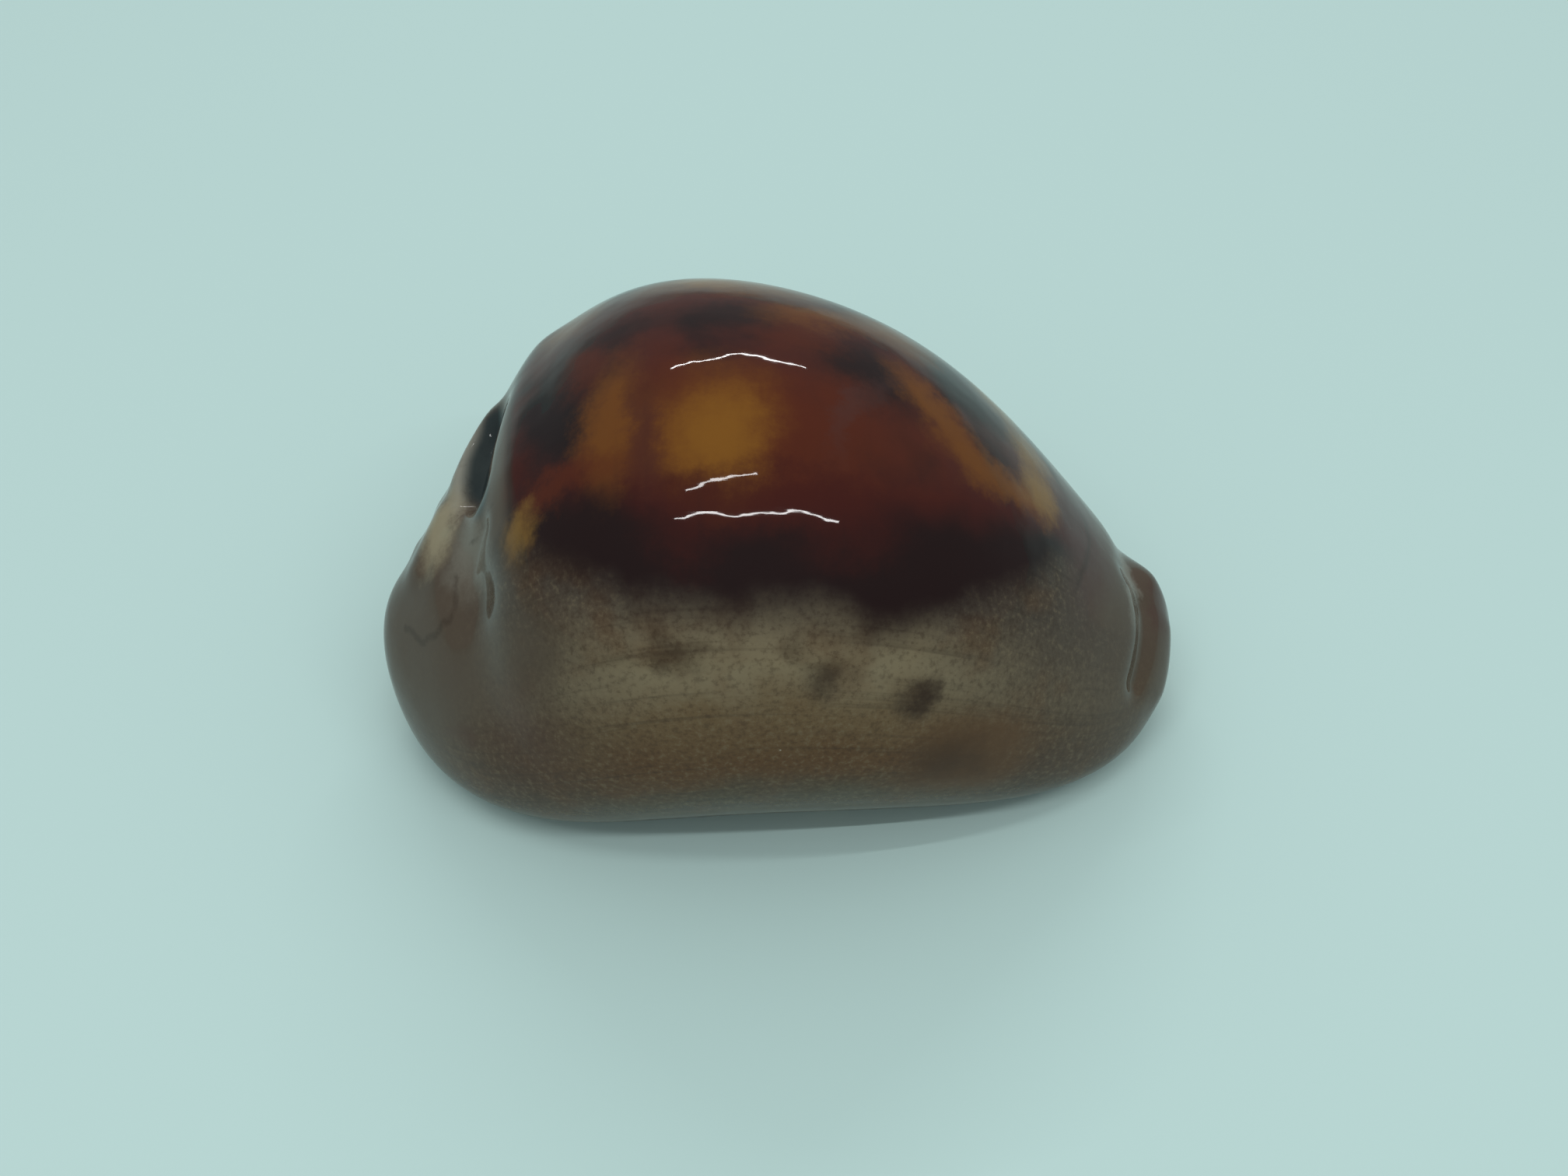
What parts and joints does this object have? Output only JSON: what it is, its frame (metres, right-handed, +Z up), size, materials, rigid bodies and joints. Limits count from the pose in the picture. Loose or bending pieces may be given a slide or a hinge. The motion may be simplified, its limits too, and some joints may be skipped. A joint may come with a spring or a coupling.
{
  "type": "cowry shell",
  "caption": "Glossy humped cowry shell of the Zoila venusta kind, with a sunken spire pit, a long toothed slit in its flat base and a notch at each end",
  "frame": {"origin": "middle of the shell's footprint, on the plane its base rests on", "axes": "+X from the spire end to the front end, +Y from the outer lip to the columellar side, +Z up through the back"},
  "size_m": [0.075, 0.051, 0.044],
  "materials": {
    "porcelaneous_shell": "polished natural enamel, dark purple-brown back with amber patches, grey sides, tan base"
  },
  "bodies": {
    "root": {"cowry_shell": "porcelaneous_shell"}
  },
  "joints": []
}
